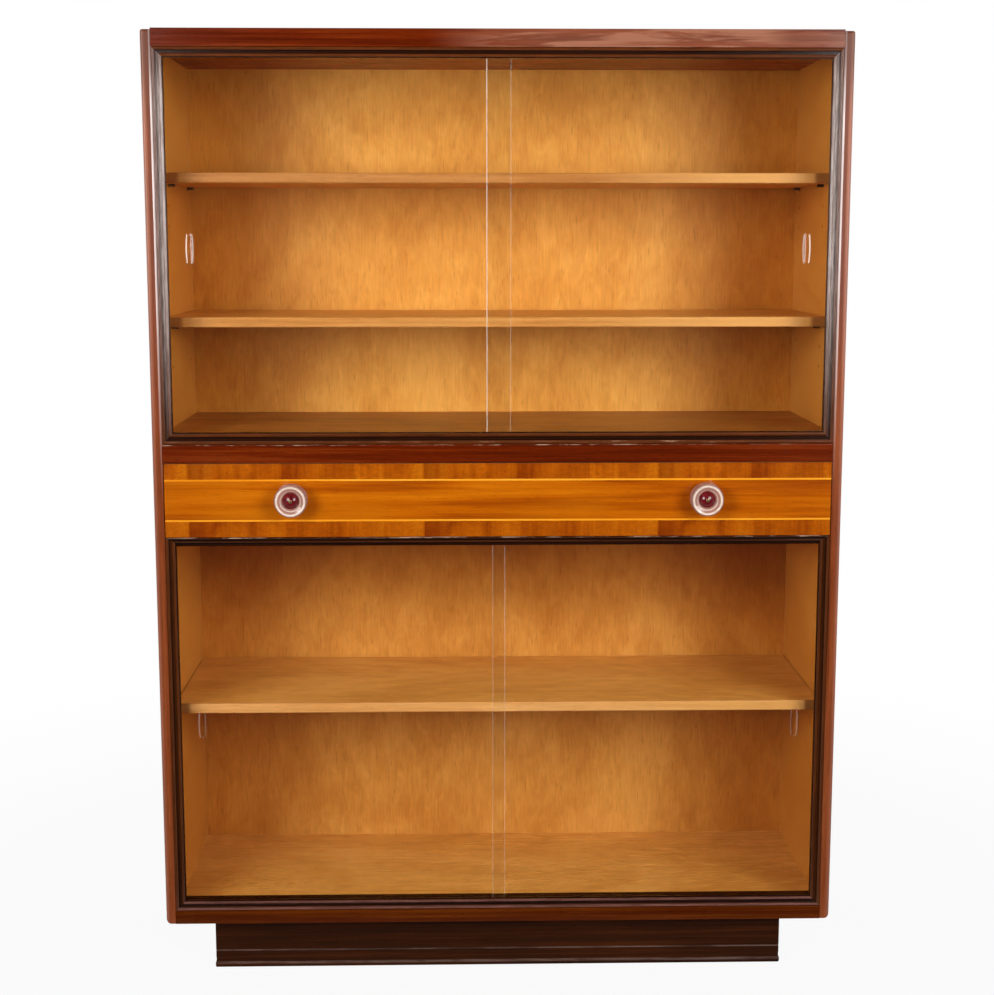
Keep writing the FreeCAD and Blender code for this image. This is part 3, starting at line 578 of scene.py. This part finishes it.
def lucite_material(name, centre_x, centre_z, rim_radius):
    """Clear, faintly pink plastic with painted highlight rings along its rim and the lip of its
    dish.
    """
    shade = Shade(name)
    scratch = shade.noise(shade.stretch(GRAIN_X, 120.0, 900.0), 1.0, 3.0, 0.6)
    off_x = shade.math("SUBTRACT", shade.math("ABSOLUTE", shade.x), centre_x)
    off_z = shade.math("SUBTRACT", shade.z, centre_z)
    square = shade.math("ADD", shade.product(off_x, off_x), shade.product(off_z, off_z))
    radius = shade.math("SQRT", square)
    # Painted highlight: pale, less clear rings along the rim and the lip of the dish.
    rim_start, rim_end = (rim_radius - inset for inset in knob_rim_inset)
    rim = shade.band(radius, rim_start, rim_end, 0.0010)
    lip = shade.band(radius, *knob_lip, 0.0010)
    front_part = shade.rise(shade.y, *knob_front, 1.0, 0.0)
    ring_highlight = shade.product(shade.math("MAXIMUM", rim, lip), front_part,
                            shade.rise(scratch, 0.3, 0.6, 0.6, 1.0))
    colour = shade.mix(ring_highlight, tone(214, 164, 148), tone(255, 236, 218))
    sockets = {"Base Color": colour, "IOR": lucite_ior,
               "Roughness": shade.rise(scratch, 0.4, 0.8, 0.12, 0.22),
               "Transmission Weight": shade.math("MULTIPLY_ADD", ring_highlight, -0.45, 0.5),
               "Normal": shade.bump(scratch, 0.00001)}
    return shade.close(shade.lit_through(shade.surface(sockets), tone(156, 120, 110)))


def dome_material(name):
    """Polished dark red plastic with a slightly cloudy body."""
    shade = Shade(name)
    cloud = shade.noise(shade.place, 160.0, 3.0)
    colour = shade.ramp(cloud, (0.35, tone(84, 6, 12)), (0.65, tone(124, 16, 26)))
    sockets = {"Base Color": colour, "Roughness": shade.rise(cloud, 0.3, 0.7, 0.14, 0.22),
               "Normal": shade.bump(shade.noise(shade.place, 900.0), 0.00001)}
    return shade.close(shade.surface(sockets))


def metal_material(name, dark, light, rough_low, rough_high):
    """Worn metal with spots and small scratches."""
    shade = Shade(name)
    spots = shade.noise(shade.place, 420.0, 4.0, 0.6)
    colour = shade.ramp(spots, (0.36, dark), (0.62, light))
    sockets = {"Base Color": colour, "Metallic": 1.0,
               "Roughness": shade.rise(spots, 0.3, 0.7, rough_high, rough_low),
               "Normal": shade.bump(shade.noise(shade.place, 1500.0, 3.0), 0.00005)}
    return shade.close(shade.surface(sockets))


# Materials of the carried-over nodes

def dress(material, *names):
    """Gives nodes one material in place of those they had."""
    for name in names:
        slots = nodes[name].data.materials
        slots.clear()
        slots.append(material)


dress(side_material("wood_side_left", (0.0, 0.0, 0.0)), "left_side_panel")
dress(side_material("wood_side_right", (4.0, 9.0, 2.0)), "right_side_panel")
# Painted shade on the top board's underside, the upper bay's ceiling.
dress(board_material("wood_top", (1.0, 3.0, 8.0), top_board_bottom, False, ceiling_shade_tones),
      "top_board")
dress(board_material("wood_bottom", (6.0, 2.0, 1.0), bottom_board_top, True, low_board_tones),
      "bottom_board")
rail_looks = {"top_rail": {"painted_reflection": 0.8}, "mid_rail": {"wear_highlight_height": mid_rail_top},
              "bottom_rail": {"tones": foot_rail_tones, "gloss": 0.06}}
for place, (rail, look) in enumerate(rail_looks.items()):
    shift = (place * 3.0 + 0.9, 2.0, place * 5.0)
    dress(rail_material("wood_" + rail, shift, **look), rail)
dress(honey_material("honey_upper_floor", GRAIN_X, (9.0, 4.0, 1.0), upper_floor_tones),
      "upper_floor_board")
board_tones = {"drawer_floor_board": honey_tones, "upper_shelf_top": honey_tones,
               "upper_shelf_low": honey_tones, "lower_shelf": low_board_tones}
for place, (board, tones) in enumerate(board_tones.items()):
    dress(honey_material("honey_" + board, GRAIN_X, (place * 2.0, place * 3.0, 1.0), tones), board)
dress(honey_material("honey_upper_back", GRAIN_Z, (5.0, 1.0, 2.0), end_shade_tint=upper_back_end_shade),
      "upper_back_panel")
dress(honey_material("honey_lower_back", GRAIN_Z, (8.0, 3.0, 7.0), lower_back_shade_tones,
                     lower_back_end_shade, lower_back_high_shade), "lower_back_panel")
for place, (lipping, tones) in enumerate(lipping_tones.items()):
    dress(lipping_material("lipping_" + str(place), (place * 4.0, 1.0, 3.0), *tones), lipping)

# The uprights carry the painted silvery reflection.
upright_moulding = moulding_material("moulding_upright", GRAIN_Z, (2.0, 4.0, 1.0), None,
                                     tone(106, 52, 18), 0.25, sheen=True)
level_moulding = moulding_material("moulding_level", GRAIN_X, (1.0, 5.0, 3.0))
upper_low_wear_highlight = (upper_low_bar_bottom + 0.003, upper_low_bar_bottom + 0.005, 0.5, 0.56)
lower_top_wear_highlight = (lower_top_bar_top - 0.0014, lower_top_bar_top, 0.85, 0.5)
dress(moulding_material("moulding_over_rail", GRAIN_X, (3.0, 1.0, 6.0), upper_low_wear_highlight),
      "upper_moulding_bottom")
# Painted shade: the bar under the drawer gets dark crests, as it lies in the drawer's shade.
dress(moulding_material("moulding_under_drawer", GRAIN_X, (5.0, 2.0, 2.0), lower_top_wear_highlight,
                        tone(56, 22, 6)), "lower_moulding_top")
dress(upright_moulding, "upper_moulding_left", "upper_moulding_right",
      "lower_moulding_left", "lower_moulding_right")
# Painted highlight: pale crests along the bottom bar's beads.
dress(moulding_material("moulding_over_foot", GRAIN_X, (4.0, 3.0, 2.0), None, tone(150, 96, 84)),
      "lower_moulding_bottom")
dress(level_moulding, "upper_moulding_top", "upper_sill_track", "upper_head_track",
      "lower_sill_track", "lower_head_track")

dress(plinth_material("plinth_long", GRAIN_X, (1.0, 1.0, 4.0)), "plinth_front")
dress(plinth_material("plinth_short", GRAIN_Y, (3.0, 5.0, 2.0)), "plinth_left", "plinth_right")
dress(raw_wood("raw_wood_x", GRAIN_X, (2.0, 2.0, 5.0)),
      "plinth_back", "drawer_back", "drawer_front_core", "drawer_bottom")
dress(raw_wood("raw_wood_y", GRAIN_Y, (4.0, 1.0, 3.0)), "drawer_left_side", "drawer_right_side",
      "drawer_kickers", "drawer_stops", "plinth_glue_blocks")
dress(crossband_material("veneer_crossband", crossband_seam, crossband_leaf), "drawer_crossbanding")
dress(centre_material("veneer_centre"), "drawer_centre_veneer")
dress(string_material("veneer_string"), "drawer_stringing")
# Painted highlight: each pane's ends and pull are whitened as far as light falls on them, faint on
# the lower panes.
pane_end_highlight_shares = {"upper_left_pane": 0.05, "upper_right_pane": 0.28,
                   "lower_left_pane": 0.06, "lower_right_pane": 0.06}
for pane, end_highlight_share in pane_end_highlight_shares.items():
    pane_low, pane_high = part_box(pane)
    at_right = "right" in pane
    pull_x = half_clear - pull_inset if at_right else pull_inset - half_clear
    pull_highlight_share = 0.85 if "upper" in pane else 0.15
    dress(glass_material("glass_" + pane, pane_low, pane_high, pull_x, end_highlight_share, pull_highlight_share), pane)
dark_steel = metal_material("steel_dark", tone(58, 50, 44), tone(120, 108, 96), 0.3, 0.55)
brass = metal_material("brass_worn", tone(96, 70, 42), tone(176, 150, 112), 0.25, 0.5)
dress(dark_steel, "shelf_pins", "knob_nuts")
dress(brass, "knob_bolts")
dome_red = dome_material("plastic_dark_red")
dress(dome_red, "knob_domes")
knob_radius = (knob_high.z - knob_low.z) / 2
knob_rise = (knob_low.z + knob_high.z) / 2
lucite = lucite_material("plastic_clear_pink", knob_high.x - knob_radius, knob_rise, knob_radius)
dress(lucite, "knob_bodies")


# Pieces in mesh code

MILLIMETRE = 0.001


def rounded(*corners, steps=5):
    """Points along straight runs whose corners, given as across, along and cut, are rounded."""
    points = []
    for place, (across, along, cut) in enumerate(corners):
        here = Vector((across, along))
        if not cut:
            points.append(here)
            continue
        before = Vector(corners[place - 1][:2])
        after = Vector(corners[(place + 1) % len(corners)][:2])
        start = here + (before - here).normalized() * cut
        end = here + (after - here).normalized() * cut
        for step in range(steps + 1):
            share = step / steps
            rest = 1 - share
            points.append(start * rest ** 2 + here * (2 * share * rest) + end * share ** 2)
    return points


def revolve(shape, profile, centre, forward, segments=96):
    """Adds a closed ring to a mesh.

    Profile points are radius and reach in millimetres. The sign of the reach along Y is forward.
    """
    rings = []
    for radius, reach in profile:
        ring = []
        for place in range(segments):
            angle = 2 * math.pi * place / segments
            ring.append(shape.verts.new((centre.x + radius * MILLIMETRE * math.cos(angle),
                                         centre.y + forward * reach * MILLIMETRE,
                                         centre.z + radius * MILLIMETRE * math.sin(angle))))
        rings.append(ring)
    for first, second in zip(rings, rings[1:] + rings[:1]):
        for place in range(segments):
            after = (place + 1) % segments
            shape.faces.new((first[place], first[after], second[after], second[place]))


def piece_of(shape, name, body, material, sharp_angle=35.0):
    """Makes a piece of a mesh, smooth but for its sharp edges, and lets it ride on a body."""
    bmesh.ops.recalc_face_normals(shape, faces=shape.faces)
    mesh = bpy.data.meshes.new(name)
    shape.to_mesh(mesh)
    shape.free()
    mesh.shade_smooth()
    mesh.set_sharp_from_angle(angle=math.radians(sharp_angle))
    mesh.materials.append(material)
    piece = bpy.data.objects.new(name, mesh)
    bpy.context.scene.collection.objects.link(piece)
    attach(piece, body)
    return piece


knob_seat = knob_high.y
knob_places = (knob_low.x + knob_radius, knob_high.x - knob_radius)
knob_centres = [Vector((x, knob_seat, knob_rise)) for x in knob_places]
TOWARD_VIEWER, TOWARD_BACK = -1, 1

knob_wide, hole, dome_rim, dome_seat, dome_rise = 26.0, 2.3, 13.2, 26.0, 6.8
waist_steps = 16
waist_depth, waist_start, waist_length = 1.6, 10.2, 20.2
waist = []
for step in range(waist_steps + 1):
    share = step / waist_steps
    radius = knob_wide - waist_depth * math.sin(math.pi * share)
    waist.append(Vector((radius, waist_start + waist_length * share)))
stem = rounded((hole, 0.0, 0.0), (12.0, 0.0, 0.5), (12.0, 5.0, 0.8), (knob_wide, 9.0, 1.0))
dish = rounded((knob_wide, 31.5, 0.9), (23.5, 34.0, 0.9), (16.5, 32.5, 0.8),
               (dome_rim, dome_seat, 0.6), (hole, dome_seat, 0.0))
knob_profile = stem + waist + dish
bodies_shape = bmesh.new()
for centre in knob_centres:
    revolve(bodies_shape, knob_profile, centre, TOWARD_VIEWER)
body_piece = piece_of(bodies_shape, "knob_bodies_fine", "drawer", lucite, 60.0)
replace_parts(body_piece, "knob_bodies")

dome_sphere = (dome_rim ** 2 + dome_rise ** 2) / (2 * dome_rise)
dome_steps = 14
dome_profile = [Vector((hole, dome_seat)), Vector((dome_rim - 0.3, dome_seat))]
for step in range(dome_steps + 1):
    angle = math.asin(dome_rim / dome_sphere) * (1 - step / dome_steps)
    reach = dome_seat + dome_rise - dome_sphere * (1 - math.cos(angle))
    dome_profile.append(Vector((max(dome_sphere * math.sin(angle), hole), reach)))
domes_shape = bmesh.new()
for centre in knob_centres:
    revolve(domes_shape, dome_profile, centre, TOWARD_VIEWER)
dome_piece = piece_of(domes_shape, "knob_domes_fine", "drawer", dome_red, 50.0)
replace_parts(dome_piece, "knob_domes")

bolt_low, bolt_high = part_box("knob_bolts")
bolt_head_top = (knob_seat - bolt_low.y) / MILLIMETRE
bolt_tail = (knob_seat - bolt_high.y) / MILLIMETRE
bolt_core, bolt_shank, bolt_head, head_height = 0.05, 2.0, 3.0, 1.2
thread_start, thread_pitch, thread_depth, thread_turns = 0.6, 0.7, 0.25, 30
head_seat = bolt_head_top - head_height
bolt_points = [(bolt_core, bolt_tail), (bolt_shank - 0.5, bolt_tail)]
for turn in range(thread_turns):
    reach = bolt_tail + thread_start + turn * thread_pitch
    bolt_points += [(bolt_shank - thread_depth, reach), (bolt_shank, reach + thread_pitch / 2)]
bolt_points += [(bolt_shank, head_seat), (bolt_head, head_seat), (bolt_head, head_seat + 0.5),
                (bolt_head - 0.5, bolt_head_top - 0.3), (bolt_head - 1.4, bolt_head_top - 0.04),
                (bolt_core, bolt_head_top)]
bolt_profile = [Vector(point) for point in bolt_points]
bolts_shape = bmesh.new()
for centre in knob_centres:
    revolve(bolts_shape, bolt_profile, centre, TOWARD_VIEWER, 48)
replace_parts(piece_of(bolts_shape, "knob_bolts_fine", "drawer", brass), "knob_bolts")

washer_profile = rounded((hole, 0.0, 0.0), (7.0, 0.0, 0.2), (7.0, 1.0, 0.3), (hole, 1.0, 0.0),
                         steps=2)
washers_shape = bmesh.new()
for centre in knob_centres:
    washer_centre = Vector((centre.x, drawer_core_back, centre.z))
    revolve(washers_shape, washer_profile, washer_centre, TOWARD_BACK, 48)
piece_of(washers_shape, "knob_washers", "drawer", dark_steel)


def screw_head(shape, centre, turn):
    """Adds a slotted round screw head that faces backward."""
    head = bmesh.new()
    outline = rounded((0.05, 0.0, 0.0), (3.2, 0.0, 0.0), (3.2, 0.5, 0.3), (2.2, 1.6, 0.7),
                      (0.05, 2.0, 0.0), steps=4)
    revolve(head, outline, Vector(), TOWARD_BACK, 32)
    slot = Vector((math.cos(turn), 0.0, math.sin(turn)))
    slot_half, slot_depth = 0.0004, 0.0008
    for side in (-slot_half, slot_half):
        bmesh.ops.bisect_plane(head, geom=head.verts[:] + head.edges[:] + head.faces[:],
                               plane_co=slot * side, plane_no=slot, dist=1e-7)
    bmesh.ops.recalc_face_normals(head, faces=head.faces)
    floor_faces = [face for face in head.faces
                   if abs(face.calc_center_median().dot(slot)) < slot_half and face.normal.y > 0.3]
    sunk = bmesh.ops.extrude_face_region(head, geom=floor_faces)["geom"]
    bmesh.ops.delete(head, geom=floor_faces, context="FACES_ONLY")
    bmesh.ops.translate(head, verts=[part for part in sunk if isinstance(part, bmesh.types.BMVert)],
                        vec=(0.0, -slot_depth, 0.0))
    bmesh.ops.translate(head, verts=head.verts, vec=centre)
    carrier = bpy.data.meshes.new("screw_head")
    head.to_mesh(carrier)
    head.free()
    shape.from_mesh(carrier)
    bpy.data.meshes.remove(carrier)


screw_inset, screw_end, screw_seam_x, screw_seam_gap, screw_turn = 0.012, 0.06, 0.26, 0.004, 0.73
screws_shape = bmesh.new()
screw_places = []
for low, high in ((lower_back_low.z, lower_back_high.z), (upper_back_low.z, upper_back_high.z)):
    for share in (0.0, 0.5, 1.0):
        height = low + screw_end + (high - low - 2 * screw_end) * share
        screw_places += [(-half_width + screw_inset, height), (half_width - screw_inset, height)]
for height in (lower_back_high.z - screw_seam_gap, upper_back_low.z + screw_seam_gap):
    screw_places += [(-screw_seam_x, height), (screw_seam_x, height)]
for place, (x, z) in enumerate(screw_places):
    screw_head(screws_shape, Vector((x, lower_back_high.y, z)), place * screw_turn)
piece_of(screws_shape, "back_panel_screws", "carcass", dark_steel)

# Floor, backdrop and lamps

floor_side = 2.4
floor_front = -0.42
floor_rear = 3.2
floor_front_fade = 0.15
floor_shadow_reach = (0.6, 2.2)


def floor_material():
    """Pale floor that turns white far from the case and at the front, and keeps the shadow."""
    shade = Shade("floor_pale")
    grit = shade.noise(shade.place, 60.0, 3.0)
    speckle = shade.ramp(grit, (0.3, tone(214, 214, 214)), (0.7, tone(222, 222, 222)))
    pale = shade.surface({"Base Color": speckle, "Roughness": 0.7})
    glow = shade.node("ShaderNodeEmission", {"Color": white, "Strength": 1.0}).outputs[0]
    ray = shade.node("ShaderNodeLightPath")
    seen = shade.math("MAXIMUM", ray.outputs["Is Camera Ray"], ray.outputs["Is Transmission Ray"])
    seen = shade.math("MAXIMUM", seen, ray.outputs["Is Glossy Ray"])
    seen = shade.product(seen, shade.rise(ray.outputs["Diffuse Depth"], 0.0, 1.0, 1.0, 0.0))
    length = shade.node("ShaderNodeVectorMath", {0: shade.place}, operation="LENGTH")
    far = shade.rise(length.outputs["Value"], *floor_shadow_reach, 0.93, 1.0)
    near = shade.rise(shade.y, floor_front, floor_front + floor_front_fade, 1.0, 0.0)
    whiteness = shade.math("MAXIMUM", far, near)
    share = shade.product(seen, whiteness)
    return shade.close(shade.node("ShaderNodeMixShader", {0: share, 1: pale, 2: glow}).outputs[0])


floor_mesh = bpy.data.meshes.new("floor")
floor_corners = [(-floor_side, floor_front, 0.0), (floor_side, floor_front, 0.0),
                 (floor_side, floor_rear, 0.0), (-floor_side, floor_rear, 0.0)]
floor_mesh.from_pydata(floor_corners, [], [(0, 1, 2, 3)])
floor = bpy.data.objects.new("floor", floor_mesh)
floor_mesh.materials.append(floor_material())
bpy.context.scene.collection.objects.link(floor)

world_level = 0.03
rear_level = 0.45
front_level = 0.05
world = bpy.data.worlds.new("studio")
bpy.context.scene.world = world
studio = Shade("studio", world)
ray = studio.node("ShaderNodeLightPath")
toward = studio.node("ShaderNodeTexCoord").outputs["Generated"]
toward = studio.node("ShaderNodeSeparateXYZ", {"Vector": toward}).outputs[1]
room = studio.rise(toward, -0.75, 0.1, front_level, 1.0)
seen = studio.math("MAXIMUM", ray.outputs["Is Glossy Ray"], ray.outputs["Is Transmission Ray"])
seen = studio.product(seen, studio.rise(ray.outputs["Diffuse Depth"], 0.0, 1.0, 1.0, 0.0))
soft = studio.rise(toward, -0.1, 0.6, world_level, rear_level)
level = studio.rise(seen, 0.0, 1.0, soft, room)
level = studio.rise(ray.outputs["Is Camera Ray"], 0.0, 1.0, level, 1.0)
sky = studio.node("ShaderNodeBackground", {"Color": white, "Strength": level}).outputs[0]
studio.close(sky, "ShaderNodeOutputWorld")

lamp_aim = Vector((0.0, 0.0, 1.3))
lamp_side, lamp_front, lamp_height = 1.68, -2.45, 1.62
lamp_width, lamp_tall, lamp_power = 1.2, 1.3, 19.2
lamp_spread = math.radians(100.0)
for name, x in (("lamp_left", -lamp_side), ("lamp_right", lamp_side)):
    lamp = bpy.data.lights.new(name, "AREA")
    lamp.shape = "RECTANGLE"
    lamp.size = lamp_width
    lamp.size_y = lamp_tall
    lamp.energy = lamp_power
    lamp.spread = lamp_spread
    holder = bpy.data.objects.new(name, lamp)
    holder.location = (x, lamp_front, lamp_height)
    toward_case = lamp_aim - Vector(holder.location)
    holder.rotation_euler = toward_case.to_track_quat("-Z", "Y").to_euler()
    holder.visible_camera = False
    holder.visible_transmission = False
    bpy.context.scene.collection.objects.link(holder)

# Camera at the photograph's place

camera_place = (-0.06383, -2.85846, 1.2161)
camera_tilt = 0.15088
camera_turn = -0.02247
camera_lens = 61.674
camera = bpy.data.cameras.new("camera")
camera.sensor_fit = "HORIZONTAL"
camera.sensor_width = 36.0
camera.lens = camera_lens
camera_holder = bpy.data.objects.new("camera", camera)
camera_holder.location = camera_place
camera_holder.rotation_euler = (math.pi / 2 - camera_tilt, 0.0, camera_turn)
bpy.context.scene.collection.objects.link(camera_holder)
bpy.context.scene.camera = camera_holder
bpy.context.scene.view_settings.view_transform = "Standard"
